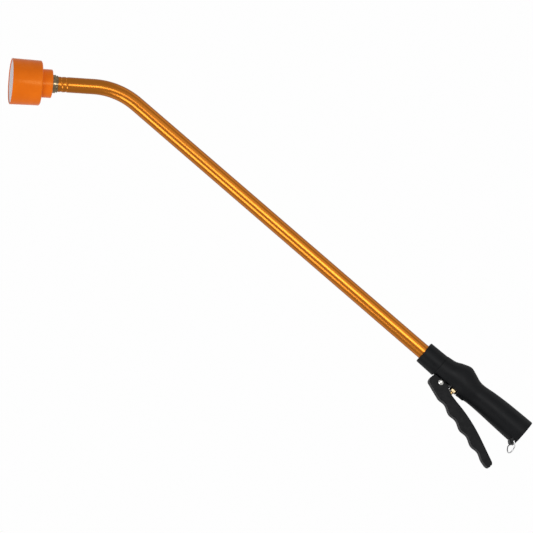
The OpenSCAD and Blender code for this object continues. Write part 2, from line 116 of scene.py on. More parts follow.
def rounded(points, arc_steps=5):
    """A closed outline of (u, v, radius) corners as (u, v) points, each corner replaced by an arc."""
    out = []
    count = len(points)
    for i, (u, v, r) in enumerate(points):
        p = Vector((u, v))
        a = Vector(points[i - 1][:2]) - p
        b = Vector(points[(i + 1) % count][:2]) - p
        if r <= 0:
            out.append((u, v))
            continue
        half = a.angle(b) / 2
        reach = min(r / math.tan(half), 0.49 * a.length, 0.49 * b.length)
        r = reach * math.tan(half)
        start, end = p + a.normalized() * reach, p + b.normalized() * reach
        centre = p + (a.normalized() + b.normalized()).normalized() * (r / math.sin(half))
        for k in range(arc_steps + 1):
            w = (start - centre).lerp(end - centre, k / arc_steps).normalized() * r
            out.append(tuple(centre + w))
    return out


def bands(rings, sides, closed=False):
    """The faces between successive rings of points, and from the last ring to the first if closed."""
    faces = []
    for k in range(rings if closed else rings - 1):
        near, far = k * sides, (k + 1) % rings * sides
        for i in range(sides):
            j = (i + 1) % sides
            faces.append((near + i, near + j, far + j, far + i))
    return faces


def end_caps(rings, sides):
    """The faces that close the first and the last ring."""
    last = (rings - 1) * sides
    return [tuple(reversed(range(sides))), tuple(range(last, last + sides))]


def lathe(name, outline, matrix, sides):
    """Turns a closed outline of (radius, height) in mm about matrix's Z."""
    verts = []
    for k in range(sides):
        a = 2 * math.pi * k / sides
        for r, h in outline:
            verts.append(matrix @ Vector((r * MM * math.cos(a), r * MM * math.sin(a), h * MM)))
    return make_object(name, verts, bands(sides, len(outline), closed=True))


def sweep(name, path, radius, sides):
    """A round wire along a path in metres. Its ring frames turn as little as they can from point to point."""
    verts = []
    way = [(path[min(i + 1, len(path) - 1)] - path[max(i - 1, 0)]).normalized() for i in range(len(path))]
    side = way[0].orthogonal().normalized()
    for i, p in enumerate(path):
        side = (side - way[i] * side.dot(way[i])).normalized()
        up = way[i].cross(side)
        for k in range(sides):
            a = 2 * math.pi * k / sides
            verts.append(p + (side * math.cos(a) + up * math.sin(a)) * radius)
    return make_object(name, verts, bands(len(path), sides) + end_caps(len(path), sides))


def prism(name, near, far):
    """A closed solid between two rings of the same number of (x, y, z) points in mm."""
    n = len(near)
    verts = [Vector(p) * MM for p in (*near, *far)]
    ends = [tuple(range(n)), tuple(reversed(range(n, 2 * n)))]
    return make_object(name, verts, ends + bands(2, n))


def plate(name, outline, half):
    """A closed (x, z) outline in mm, extruded along Y from -half to half."""
    near, far = ([(u, y, v) for u, v in outline] for y in (-half, half))
    return prism(name, near, far)


# The two axes across a rod that runs along the third.
ACROSS = {"X": ((0, 1, 0), (0, 0, 1)), "Y": ((1, 0, 0), (0, 0, 1)), "Z": ((1, 0, 0), (0, 1, 0))}


def rod(name, axis, start, end, r, end_r=None):
    """A closed round rod or cone in mm, from start to end along the named axis."""
    sides = 64
    side, up = ACROSS[axis]
    rings = []
    for centre, q in ((start, r), (end, r if end_r is None else end_r)):
        angles = [2 * math.pi * k / sides for k in range(sides)]
        rings.append([tuple(c + q * (x * math.cos(a) + y * math.sin(a)) for c, x, y in zip(centre, side, up))
                      for a in angles])
    return prism(name, *rings)


def combine(target, tools, operation):
    """Adds the tools to the target or cuts them from it, and removes them."""
    for tool in tools:
        mod = target.modifiers.new("cut", "BOOLEAN")
        mod.object = tool
        mod.operation = operation
        mod.solver = "EXACT"
    settle(target)
    for tool in tools:
        bpy.data.objects.remove(tool)


def settle(obj):
    """Applies the object's modifiers to its mesh."""
    bpy.context.view_layer.update()
    done = bpy.data.meshes.new_from_object(obj.evaluated_get(bpy.context.evaluated_depsgraph_get()))
    obj.modifiers.clear()
    obj.data = done


def soften(obj, voxel_mm, passes):
    """Remeshes evenly and relaxes, which rounds every edge as moulding does."""
    mod = obj.modifiers.new("even", "REMESH")
    mod.mode = "VOXEL"
    mod.voxel_size = voxel_mm * MM
    relax = obj.modifiers.new("relax", "SMOOTH")
    relax.factor = 0.5
    relax.iterations = passes
    settle(obj)
    shade(obj.data, 180.0)


def place(obj, material, slot, body, *nodes):
    """Gives the piece its material and its body, and hides the CAD nodes that it stands for. slot is not
    used.
    """
    obj.data.materials.clear()
    obj.data.materials.append(material)
    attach(obj, body)
    if nodes:
        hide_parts(*nodes)
    return obj


# ---------------------------------------------------------------- materials


class Nodes:
    """Short calls for building a material's node tree."""

    def __init__(self, name):
        self.mat = bpy.data.materials.new(name)
        self.mat.use_nodes = True
        self.tree = self.mat.node_tree
        self.shader = next(n for n in self.tree.nodes if n.type == "BSDF_PRINCIPLED")
        self.coords = self.tree.nodes.new("ShaderNodeTexCoord")

    def link(self, a, b):
        self.tree.links.new(a, b)

    def set(self, **values):
        """Sets the shader's inputs by name."""
        for name, value in values.items():
            self.shader.inputs[name.replace("_", " ")].default_value = value

    def space(self, scale):
        """Object coordinates in row-frame metres, stretched by scale."""
        node = self.tree.nodes.new("ShaderNodeMapping")
        node.inputs["Scale"].default_value = scale
        self.link(self.coords.outputs["Object"], node.inputs["Vector"])
        return node.outputs[0]

    def noise(self, per_metre, detail=3.0, scale=(1, 1, 1), rough=0.55, distort=0.0):
        """Noise with so many spots to a metre."""
        node = self.tree.nodes.new("ShaderNodeTexNoise")
        node.inputs["Scale"].default_value = per_metre
        node.inputs["Detail"].default_value = detail
        node.inputs["Roughness"].default_value = rough
        node.inputs["Distortion"].default_value = distort
        self.link(self.space(scale), node.inputs["Vector"])
        return node.outputs[0]

    def cells(self, per_metre):
        """Distance to the nearest of so many cells to a metre."""
        node = self.tree.nodes.new("ShaderNodeTexVoronoi")
        node.inputs["Scale"].default_value = per_metre
        self.link(self.space((1, 1, 1)), node.inputs["Vector"])
        return node.outputs["Distance"]

    def spread(self, value, low, high, out_low, out_high):
        """The range from low to high, spread over another and held at its ends."""
        node = self.tree.nodes.new("ShaderNodeMapRange")
        for i, v in enumerate((low, high, out_low, out_high)):
            node.inputs[i + 1].default_value = v
        self.link(value, node.inputs[0])
        return node.outputs[0]

    def maths(self, operation, a, b):
        node = self.tree.nodes.new("ShaderNodeMath")
        node.operation = operation
        for i, v in enumerate((a, b)):
            if isinstance(v, (int, float)):
                node.inputs[i].default_value = v
            else:
                self.link(v, node.inputs[i])
        return node.outputs[0]

    def mix(self, share, a, b):
        """Colour a, and b by its share."""
        node = self.tree.nodes.new("ShaderNodeMix")
        node.data_type = "RGBA"
        for key, v in ((0, share), (6, a), (7, b)):
            if isinstance(v, (int, float)):
                node.inputs[key].default_value = v
            elif isinstance(v, tuple):
                node.inputs[key].default_value = (*v, 1.0)
            else:
                self.link(v, node.inputs[key])
        return node.outputs[2]

    def edges(self, low=0.53, high=0.6):
        """1 on worn convex edges, broken up by noise."""
        node = self.tree.nodes.new("ShaderNodeNewGeometry")
        edge = self.spread(node.outputs["Pointiness"], low, high, 0.0, 1.0)
        return self.maths("MULTIPLY", edge, self.spread(self.noise(420), 0.42, 0.62, 0.0, 1.0))

    def bump(self, height, depth_mm, strength, under=None):
        """A surface normal from a height, on top of another if there is one."""
        node = self.tree.nodes.new("ShaderNodeBump")
        node.inputs["Strength"].default_value = strength
        node.inputs["Distance"].default_value = depth_mm * MM
        self.link(height, node.inputs["Height"])
        if under is not None:
            self.link(under, node.inputs["Normal"])
        return node.outputs[0]

    def finish(self, color, rough, normal):
        """Links the shader's inputs and gives back the material."""
        for name, value in (("Base Color", color), ("Roughness", rough), ("Normal", normal)):
            self.link(value, self.shader.inputs[name])
        return self.mat


def breaker_orange():
    """Orange moulded plastic: faint flow marks, a fine skin, scuffs and paler worn edges."""
    n = Nodes("breaker_orange")
    n.set(IOR=1.49, Specular_IOR_Level=0.28, Specular_Tint=(1.0, 0.7, 0.25, 1.0))
    flow = n.noise(38, 4, (1, 1, 1), 0.6, 0.6)
    tone = n.mix(n.spread(flow, 0.35, 0.65, 0, 1), (0.79, 0.152, 0.0060), (0.87, 0.176, 0.0080))
    speck = n.spread(n.noise(2600, 2), 0.6, 0.75, 0, 0.35)
    tone = n.mix(speck, tone, (0.56, 0.085, 0.007))
    tone = n.mix(n.maths("MULTIPLY", n.edges(), 0.35), tone, (0.80, 0.26, 0.06))
    rough = n.spread(n.noise(160, 3), 0.3, 0.7, 0.19, 0.25)
    skin = n.bump(n.noise(1900, 2), 0.02, 0.35)
    scuffs = n.bump(n.noise(240, 5, (1, 6, 1), 0.7, 1.5), 0.03, 0.25, skin)
    return n.finish(tone, rough, scuffs)


def face_lilac():
    """Pale lilac-grey plastic of the spray face, slightly dusty."""
    n = Nodes("face_lilac")
    dust = n.spread(n.noise(90, 4), 0.35, 0.7, 0, 1)
    tone = n.mix(dust, (0.88, 0.79, 0.82), (0.94, 0.86, 0.88))
    tone = n.mix(n.spread(n.noise(1500, 2), 0.62, 0.8, 0, 0.4), tone, (0.48, 0.46, 0.50))
    return n.finish(tone, n.spread(dust, 0, 1, 0.45, 0.62), n.bump(n.noise(2200, 2), 0.02, 0.4))


def tube_anodised():
    """Gold-orange anodised aluminium: fine drawing lines along the tube, faint blotches and small rubs."""
    n = Nodes("tube_anodised")
    n.set(Metallic=1.0)
    lines = n.noise(900, 3, (0.02, 1, 1), 0.6)
    blotch = n.noise(26, 3, (1, 1, 1), 0.55, 0.4)
    tone = n.mix(n.spread(lines, 0.35, 0.65, 0, 1), (0.56, 0.178, 0.020), (0.60, 0.194, 0.023))
    tone = n.mix(n.spread(blotch, 0.4, 0.75, 0, 0.3), tone, (0.52, 0.158, 0.018))
    rub = n.spread(n.noise(180, 4, (0.3, 1, 1), 0.7), 0.7, 0.85, 0, 0.25)
    tone = n.mix(rub, tone, (0.62, 0.26, 0.06))
    rough = n.spread(blotch, 0.3, 0.7, 0.24, 0.26)
    return n.finish(tone, rough, n.bump(lines, 0.0004, 0.1))


def grip_sleeve_black():
    """Black moulded sleeve: fine leathery grain, a few grey rubs on the edges and a little dust."""
    n = Nodes("grip_sleeve_black")
    n.set(IOR=1.5, Specular_IOR_Level=0.13)
    patch = n.spread(n.noise(55, 4, (1, 1, 1), 0.6, 0.5), 0.35, 0.7, 0, 1)
    tone = n.mix(patch, (0.0048, 0.0052, 0.0062), (0.0085, 0.009, 0.010))
    tone = n.mix(n.maths("MULTIPLY", n.edges(0.52, 0.6), 0.35), tone, (0.03, 0.031, 0.033))
    tone = n.mix(n.spread(n.noise(1300, 2), 0.66, 0.8, 0, 0.3), tone, (0.03, 0.03, 0.03))
    rough = n.spread(patch, 0, 1, 0.40, 0.52)
    grain = n.bump(n.cells(1500), 0.03, 0.35)
    return n.finish(tone, rough, n.bump(n.noise(320, 4), 0.05, 0.3, grain))


def lever_black():
    """Black lever: a coarser sparkle finish than the sleeve, with rubbed finger ridges."""
    n = Nodes("lever_black")
    n.set(IOR=1.5, Specular_IOR_Level=0.11)
    patch = n.spread(n.noise(120, 4), 0.35, 0.7, 0, 1)
    tone = n.mix(patch, (0.0060, 0.0062, 0.0070), (0.0105, 0.0108, 0.0115))
    tone = n.mix(n.spread(n.noise(1600, 2), 0.6, 0.76, 0, 0.5), tone, (0.030, 0.030, 0.031))
    tone = n.mix(n.maths("MULTIPLY", n.edges(0.52, 0.6), 0.45), tone, (0.04, 0.04, 0.041))
    rough = n.spread(n.noise(300, 3), 0.3, 0.7, 0.40, 0.55)
    return n.finish(tone, rough, n.bump(n.noise(1500, 3), 0.05, 0.5))


def body_black():
    """Black glass-filled plastic of the valve body and the spring cap: faint swirl and fine grain."""
    n = Nodes("body_black")
    n.set(IOR=1.5, Specular_IOR_Level=0.13)
    swirl = n.spread(n.noise(140, 5, (1, 1, 1), 0.65, 1.2), 0.35, 0.68, 0, 1)
    tone = n.mix(swirl, (0.008, 0.0084, 0.0095), (0.015, 0.0155, 0.017))
    tone = n.mix(n.maths("MULTIPLY", n.edges(0.52, 0.6), 0.5), tone, (0.06, 0.06, 0.062))
    return n.finish(tone, n.spread(swirl, 0, 1, 0.38, 0.5), n.bump(n.noise(1800, 3), 0.03, 0.4))


def plated():
    """Bright plating with a fine grain and a few dull spots."""
    n = Nodes("plated")
    n.set(Metallic=1.0)
    dull = n.spread(n.noise(500, 4), 0.5, 0.75, 0, 1)
    tone = n.mix(dull, (0.86, 0.85, 0.82), (0.62, 0.59, 0.53))
    rough = n.spread(dull, 0, 1, 0.10, 0.28)
    return n.finish(tone, rough, n.bump(n.noise(2400, 2), 0.008, 0.4))


def plated_warm():
    """Plating over brass, rubbed warm, on the nipple and the packing nut."""
    n = Nodes("plated_warm")
    n.set(Metallic=1.0)
    worn = n.spread(n.noise(380, 4), 0.4, 0.7, 0, 1)
    tone = n.mix(worn, (0.36, 0.28, 0.17), (0.16, 0.11, 0.06))
    rough = n.spread(worn, 0, 1, 0.12, 0.22)
    return n.finish(tone, rough, n.bump(n.noise(2400, 2), 0.004, 0.3))


def brass():
    """Turned brass, a little tarnished."""
    n = Nodes("brass_turned")
    n.set(Metallic=1.0)
    tarnish = n.spread(n.noise(420, 4), 0.4, 0.72, 0, 1)
    tone = n.mix(tarnish, (0.80, 0.55, 0.22), (0.50, 0.30, 0.12))
    return n.finish(tone, n.spread(tarnish, 0, 1, 0.18, 0.38), n.bump(n.noise(2600, 2), 0.01, 0.4))


def steel():
    """Bright stainless steel: a fine grain and faint smears."""
    n = Nodes("steel_bright")
    n.set(Metallic=1.0)
    smear = n.spread(n.noise(260, 3), 0.35, 0.7, 0, 1)
    tone = n.mix(smear, (0.80, 0.80, 0.81), (0.62, 0.62, 0.63))
    return n.finish(tone, n.spread(smear, 0, 1, 0.14, 0.26), n.bump(n.noise(3000, 2), 0.006, 0.4))


def seal_rubber():
    """Matt black rubber with a dusty bloom."""
    n = Nodes("seal_rubber")
    bloom = n.spread(n.noise(700, 4), 0.4, 0.75, 0, 1)
    tone = n.mix(bloom, (0.014, 0.014, 0.014), (0.035, 0.035, 0.034))
    return n.finish(tone, n.spread(bloom, 0, 1, 0.65, 0.85), n.bump(n.noise(2000, 3), 0.03, 0.5))


def natural_plastic():
    """Uncoloured plastic of the clamp ring."""
    n = Nodes("natural_plastic")
    milk = n.spread(n.noise(300, 3), 0.35, 0.7, 0, 1)
    tone = n.mix(milk, (0.66, 0.65, 0.60), (0.74, 0.73, 0.69))
    return n.finish(tone, n.spread(milk, 0, 1, 0.4, 0.5), n.bump(n.noise(1800, 2), 0.02, 0.3))


MATERIALS = {
    "breaker_plastic": breaker_orange(), "face_plastic": face_lilac(), "seal_rubber": seal_rubber(),
    "plated_metal": plated(), "anodised_tube": tube_anodised(), "grip_black": grip_sleeve_black(),
    "inner_plastic": natural_plastic(), "body_black": body_black(), "lever_black": lever_black(),
    "brass": brass(), "steel": steel(),
}
WARM_PLATING = plated_warm()


def paint_cad_nodes():
    """Each CAD node takes the material of its slot, but the packing nut has the warm plating."""
    for part in frame["record"]["subparts"]:
        obj = frame["nodes"][part["node"]]
        material = WARM_PLATING if part["node"] == "packing_nut" else MATERIALS[part["material_slot"]]
        obj.data.materials.clear()
        obj.data.materials.append(material)


def soft_edges(node, width_mm):
    """A small bevel on a CAD node's sharp edges, as a modifier."""
    mod = frame["nodes"][node].modifiers.new("edge", "BEVEL")
    mod.width = width_mm * MM
    mod.segments = 2
    mod.limit_method = "ANGLE"
    mod.angle_limit = math.radians(50)


# ---------------------------------------------------------------- water breaker

NECK_BORE_R, NECK_BORE_LEN, WATERWAY_R = 13.5, 11.0, 9.0
RIM_WALL, FACE_SEAT = 1.5, 2.9


def build_breaker_body():
    """The orange cup with its neck, every edge rounded, and a shallow step inside its rim."""
    top = NECK_LEN + CUP_LEN
    seat = top - FACE_SEAT
    floor = NECK_LEN + CUP_WALL
    outline = rounded([
        (NECK_BORE_R, 0, 0.4), (NECK_R, 0, 0.9), (NECK_R, NECK_LEN, 0.6),
        (CUP_REAR_R, NECK_LEN, 2.0), (CUP_R, top, 0.55), (CUP_R - RIM_WALL, top, 0.45),
        (CUP_R - RIM_WALL, seat, 0.1), (CUP_REAR_R - CUP_WALL, seat, 0.2),
        (CUP_REAR_R - CUP_WALL, floor, 0.8), (WATERWAY_R, floor, 0.2),
        (WATERWAY_R, NECK_BORE_LEN, 0.2), (NECK_BORE_R, NECK_BORE_LEN, 0.2),
    ])
    cup = lathe("breaker_cup", outline, head_matrix(NECK_S), 160)
    return place(cup, MATERIALS["breaker_plastic"], "breaker_plastic", "wand", "breaker_body")


def build_nipple():
    """The plated nipple: rounded flange, groove and ring, and its threaded end in the neck."""
    bore_r, shank_r, flange_r, groove_r, ring_r = 6, TUBE_R - TUBE_WALL - CRIMP_DEPTH - 0.1, 10.6, 9.8, 11.35
    rear_s, flange_s, front_s = 51.9, TUBE_END_S + 0.2, NECK_S + 8.4
    groove_s, ring_s, ring_end_s, thread_s = flange_s + 1.6, flange_s + 2.5, flange_s + 6.5, flange_s + 6.55
    thread_r = NECK_BORE_R - 0.1
    outline = rounded([
        (bore_r, rear_s, 0.2), (shank_r, rear_s, 0.4), (shank_r, flange_s, 0.05),
        (flange_r, flange_s, 0.35), (flange_r, groove_s, 0.35), (groove_r, groove_s, 0.1),
        (groove_r, ring_s, 0.1), (ring_r, ring_s, 0.5), (ring_r, ring_end_s, 0.5),
        (ring_r - 0.35, ring_end_s, 0.1), (ring_r - 0.35, thread_s, 0), (thread_r, thread_s, 0.2),
        (thread_r, front_s, 0.2), (bore_r, front_s, 0.2),
    ])
    ring = lathe("plated_nipple", outline, head_matrix(), 128)
    return place(ring, WARM_PLATING, "plated_metal", "wand", "head_nipple")


# ---------------------------------------------------------------- tube


def crimp_dip(s, angle):
    """How far the crimping jaws push the tube in at distance s, in mm, with a soft mark between jaws."""
    half_width, jaws = 1.25, 8
    dip = 0.0
    for c in CRIMP_S:
        u = abs(s - c) / half_width
        if u < 1.6:
            dip += CRIMP_DEPTH * math.exp(-2.2 * u * u) * (0.8 + 0.2 * math.cos(jaws * angle + c))
    return dip


def tube_stations():
    """Places along the tube's axis in mm, each with the turn there and, past the bend, its distance s."""
    run, bend, coarse, fine, fine_from = 60, 48, 2.0, 0.3, 60.0
    reach = BEND_R * math.tan(math.radians(BEND_DEG / 2))
    run_x = BEND_X + reach
    stations = []
    for i in range(run):
        x = TUBE_IN_X + (run_x - TUBE_IN_X) * i / run
        stations.append((Vector((x, 0, TUBE_Z)), 0.0, None))
    centre = Vector((run_x, 0, TUBE_Z - BEND_R))
    for i in range(bend + 1):
        a = math.radians(BEND_DEG * i / bend)
        stations.append((centre + BEND_R * Vector((-math.sin(a), 0, math.cos(a))), a, None))
    a = math.radians(BEND_DEG)
    way = Vector((-math.cos(a), 0, -math.sin(a)))
    s = reach
    while s < TUBE_END_S - 0.01:
        s = min(TUBE_END_S, s + (fine if s > fine_from else coarse))
        stations.append((Vector((BEND_X, 0, TUBE_Z)) + way * s, a, s))
    return stations


def build_tube():
    """The bent tube with its crimp grooves, one closed shell with both ends eased."""
    stations = tube_stations()
    in_r, sides = TUBE_R - TUBE_WALL, 96
    rings = [(stations[0], in_r, False), (stations[0], TUBE_R - 0.3, False)]
    rings += [(st, TUBE_R, True) for st in stations[1:-1]]
    rings += [(stations[-1], TUBE_R - 0.25, False), (stations[-1], in_r, False)]
    rings += [(st, in_r, True) for st in reversed(stations[1:-1])]
    verts = []
    for (p, turn, s), r, crimped in rings:
        out = Vector((-math.sin(turn), 0, math.cos(turn)))
        for k in range(sides):
            b = 2 * math.pi * k / sides
            q = r - (crimp_dip(s, b) if crimped and s else 0.0)
            verts.append((p + q * (out * math.cos(b) + Vector((0, 1, 0)) * math.sin(b))) * MM)
    tube = make_object("bent_tube", verts, bands(len(rings), sides, closed=True))
    return place(tube, MATERIALS["anodised_tube"], "anodised_tube", "wand", "wand_tube")


def build_collar():
    """The black collar nut: rounded front edge, and a slight taper towards the sleeve."""
    end = COLLAR_END_X - COLLAR_X + 0.08
    step = SOCKET_X - COLLAR_X - 5
    bore_r, socket_r = TUBE_R + 0.1, SOCKET_R + 0.1
    outline = rounded([
        (bore_r, 0, 0.5), (COLLAR_R - 1.1, 0, 0.7), (COLLAR_R - 0.6, 1.0, 0.5), (COLLAR_R, end, 0.12),
        (socket_r, end, 0.2), (socket_r, step, 0.2), (bore_r, step, 0.2),
    ])
    nut = lathe("collar_nut", outline, x_matrix(COLLAR_X, TUBE_Z), 128)
    return place(nut, MATERIALS["grip_black"], "grip_black", "wand", "tube_collar")


# ---------------------------------------------------------------- grip sleeve

# x, height of the middle, half height, half width
STATIONS = [
    (-132, -3.4, 15.3, 15.0), (-120, -2.6, 16.2, 15.6), (-112.5, -0.8, 18.0, 16.1), (-101, 1.0, 19.8, 16.5),
    (-92, -0.1, 18.4, 16.3), (-82, -1.1, 15.7, 15.6), (-74, -1.1, 15.1, 15.2), (-58, -0.3, 16.0, 16.0),
    (-40, 0, 16.9, 16.9), (-20, 0, 17.5, 17.5), (0, 0, 17.8, 17.8),
]


def station(i):
    """The sleeve's station i, or the nearest one that there is."""
    return STATIONS[max(0, min(len(STATIONS) - 1, i))]


def sleeve_slice(u):
    """The sleeve's section at u stations from the front, on a smooth curve through the stations."""
    i = min(int(u), len(STATIONS) - 2)
    t = u - i
    out = [station(i)[0] + t * (station(i + 1)[0] - station(i)[0])]
    for j in (1, 2, 3):
        a, b, c, d = (station(i + k)[j] for k in (-1, 0, 1, 2))
        out.append(0.5 * (2 * b + (c - a) * t + (2 * a - 5 * b + 4 * c - d) * t * t
                          + (3 * b - a - 3 * c + d) * t ** 3))
    return out


def sleeve_solid():
    """The sleeve's outside as a closed loft."""
    sides, per = 96, 10
    count = per * (len(STATIONS) - 1) + 1
    verts = []
    for k in range(count):
        x, mid, high, wide = sleeve_slice(k / per)
        for i in range(sides):
            a = 2 * math.pi * i / sides
            verts.append(Vector((x, wide * math.cos(a), mid + high * math.sin(a))) * MM)
    return make_object("sleeve", verts, bands(count, sides) + end_caps(count, sides))


def rounded_cutter(name, x0, x1, half, z_top, corner):
    """A block that cuts up to z_top between x0 and x1, with round corners seen from below."""
    z_low = -30
    outline = rounded([(x0, -half, corner), (x1, -half, corner), (x1, half, corner), (x0, half, corner)], 8)
    near, far = ([(u, v, z) for u, v in outline] for z in (z_low, z_top))
    return prism(name, near, far)


def build_sleeve():
    """The moulded sleeve: thumb swell, window over the lever's pivot, rib behind the nut, clip's notch."""
    gap, rib_r, rib_z, rib_x = 0.1, 5.2, -13.2, -84
    sleeve = sleeve_solid()
    ribs = [
        rod("rib", "X", (WINDOW_X, 0, rib_z), (rib_x, 0, rib_z), rib_r),
        rod("rib_end", "X", (rib_x - 0.2, 0, rib_z), (rib_x + 5, 0, rib_z), rib_r, 1.5),
    ]
    combine(sleeve, ribs, "UNION")
    inside = [
        rod("socket", "X", (SOCKET_X - 5, 0, TUBE_Z), (SOCKET_BACK_X + gap, 0, TUBE_Z), SOCKET_R + gap),
        rod("front", "X", (SOCKET_BACK_X - 2, 0, TUBE_Z), (STEM_X, 0, TUBE_Z), FRONT_R + gap),
        rod("middle", "X", (STEM_X - 1, 0, MID_Z), (REAR_X + 12, 0, MID_Z), MID_R + gap),
        rod("cone", "X", (REAR_X - 18, 0, 0), (REAR_X + 4, 0, 0), CONE_R + gap, REAR_R + gap),
        rod("rear", "X", (REAR_X + 3.5, 0, 0), (2, 0, 0), REAR_R + gap),
        rod("boss", "Z", (STEM_X, 0, BOSS_BOTTOM_Z - 1), (STEM_X, 0, CAP_TOP_Z + 0.2), BOSS_R + gap),
    ]
    combine(sleeve, inside, "DIFFERENCE")
    cuts = [
        rounded_cutter("window", SOCKET_X + 5, WINDOW_X, half=9.4, z_top=-8, corner=1.5),
        rounded_cutter("notch", CLIP_X - 6, 12, half=11, z_top=-11, corner=2.0),
    ]
    combine(sleeve, cuts, "DIFFERENCE")
    soften(sleeve, voxel_mm=0.42, passes=7)
    sleeve.name = "moulded_sleeve"
    return place(sleeve, MATERIALS["grip_black"], "grip_black", "wand", "grip_sleeve")


# ---------------------------------------------------------------- lever

RIDGE_X, RIDGE_PITCH, SCALLOP = -107.9, 22.8, 1.3
LAST_RIDGE_X = RIDGE_X + 4 * RIDGE_PITCH


def outer_z(x):
    """Height of the lever's finger side at x: a slope with scallops up to the last ridge."""
    base_x, base_z, slope = -94.3, -38.2, 0.267
    wave = 1.0 if x > LAST_RIDGE_X else math.cos(2 * math.pi * (x - RIDGE_X) / RIDGE_PITCH)
    return base_z - slope * (x - base_x) - SCALLOP * wave


def inner_z(x):
    """Height of the lever's upper edge at x: a straight front, a curve and a steeper straight tail."""
    front_x, front_z, tail_x, tail_z = -88, -25.1, -35.2, -40.8
    if x >= tail_x:
        return tail_z - 0.45 * (x - tail_x)
    if x <= front_x:
        return front_z - 0.22 * (x - front_x)
    return front_z - 0.15 * (x - front_x) - 0.0028 * (x - front_x) ** 2


def steps(a, b, count):
    """count + 1 even steps from a to b."""
    return [a + (b - a) * i / count for i in range(count + 1)]


def lever_outline():
    """The lever seen from the side, counter-clockwise, with the ears round its pin."""
    pts = [(-128.6, -16.2), (-130.2, -16.9), (-131.2, -18.6), (-131.9, -21.5), (-131.9, -24.5),
           (-131.2, -26.9), (-129.6, -28.5)]
    pts += [(x, outer_z(x)) for x in steps(-109.5, -11.0, 70)]
    low_z = outer_z(-9.2)
    pts += [(TIP_X - 5, low_z + 0.3), (TIP_X - 2.2, low_z + 0.5), (TIP_X - 0.6, -60.4), (TIP_X, -58.6)]
    pts += [(TIP_X, inner_z(TIP_X) - 2.2), (TIP_X - 0.7, inner_z(TIP_X) - 0.6),
            (TIP_X - 2.2, inner_z(TIP_X - 2.2))]
    pts += [(x, inner_z(x)) for x in steps(-12.0, -88.0, 40)]
    pts += [(-97.0, inner_z(-97.0)), (-104.8, -20.0), (-107.4, -17.8), (-109.4, -16.6), (-112.0, -16.2)]
    return pts


def round_rims(obj, width_mm):
    """Bevels the edges between the flat sides and the rim of a plate."""
    bm = bmesh.new()
    bm.from_mesh(obj.data)
    rims = [e for e in bm.edges if len(e.link_faces) == 2
            and abs(abs(e.link_faces[0].normal.y) - abs(e.link_faces[1].normal.y)) > 0.9]
    bmesh.ops.bevel(bm, geom=rims, offset=width_mm * MM, segments=4, profile=0.5, affect="EDGES",
                    clamp_overlap=True)
    bm.to_mesh(obj.data)
    bm.free()


def build_lever():
    """The squeeze lever: four finger scallops, a channel inside, the catch at its tip and rounded rims."""
    in_half = LEVER_W / 2 - LEVER_WALL
    floor_t, catch_r, through, above, pad_half = 2.6, 1.2, 12, 10, 6
    channel_x, channel_end_x, catch_room_z, room_end_x = -94.5, -9.0, -57.0, -105.5
    lever = plate("squeeze", lever_outline(), LEVER_W / 2)
    round_rims(lever, 0.9)
    channel = [(channel_x, 0.0)]
    channel += [(x, outer_z(x) + floor_t + SCALLOP) for x in steps(channel_x, channel_end_x, 50)]
    channel += [(TIP_X - 3, catch_room_z), (TIP_X - 3, 0.0)]
    front = [(FRONT_X + 3, FRONT_ROOM_Z), (room_end_x, FRONT_ROOM_Z), (room_end_x, above),
             (FRONT_X + 3, above)]
    pad = [(STEM_X - pad_half, PAD_Z), (STEM_X + pad_half, PAD_Z), (STEM_X + pad_half, above),
           (STEM_X - pad_half, above)]
    cuts = [
        plate("channel", channel, in_half), plate("front", front, in_half), plate("pad", pad, in_half),
        rod("pivot", "Y", (PIVOT_X, -through, PIVOT_Z), (PIVOT_X, through, PIVOT_Z), PIN_R + 0.06),
        rod("catch", "Y", (TIP_X, -through, CATCH_Z), (TIP_X, through, CATCH_Z), catch_r),
    ]
    combine(lever, cuts, "DIFFERENCE")
    soften(lever, voxel_mm=0.36, passes=4)
    lever.name = "finger_lever"
    return place(lever, MATERIALS["lever_black"], "lever_black", "lever", "squeeze_lever")


# ---------------------------------------------------------------- clip, spring and thread


def build_clip():
    """The wire clip: both ends turned into the lug, and one loop that hangs askew."""
    end_y, shoulder, turned_at, fullness, slack = 2.4, 1.6, 6, 0.75, 0.04
    legs = []
    for a in steps(0.0, 180.0, 90):
        v = (CLIP_LEN - WIRE_R) * math.sin(math.radians(a)) ** fullness if 0 < a < 180 else 0.0
        u = CLIP_HALF * math.cos(math.radians(a))
        t = math.radians(CLIP_TURN) * min(1.0, v / turned_at)
        legs.append(Vector((u * math.sin(t), -u * math.cos(t), -v)))
    ends = [Vector((0, y, 0)) for y in (end_y, CLIP_HALF - shoulder)]
    path = [-ends[0], -ends[1], *legs, ends[1], ends[0]]
    at_lug = Matrix.Translation((CLIP_X * MM, 0, CLIP_Z * MM))
    lean = at_lug @ Matrix.Rotation(math.radians(-CLIP_LEAN), 4, "Y")
    clip = sweep("wire_clip", [lean @ (p * MM) for p in path], (WIRE_R - slack) * MM, 20)
    return place(clip, MATERIALS["steel"], "steel", "clip", "hold_open_clip")


def build_spring():
    """The conical valve spring, built at one length; the real one shortens as the poppet rises to it."""
    low_r, taper = 5.6, 1.5
    path = []
    for f in steps(0.0, 1.0, 140):
        a = 2 * math.pi * SPRING_TURNS * f
        r = low_r - taper * f
        z = SPRING_LOW_Z + (SPRING_HIGH_Z - SPRING_LOW_Z) * f
        path.append(Vector((STEM_X + r * math.cos(a), r * math.sin(a), z)) * MM)
    coil = sweep("coil_spring", path, SPRING_WIRE_R * MM, 12)
    spring = place(coil, MATERIALS["steel"], "steel", "wand", "valve_spring")
    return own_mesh(spring)


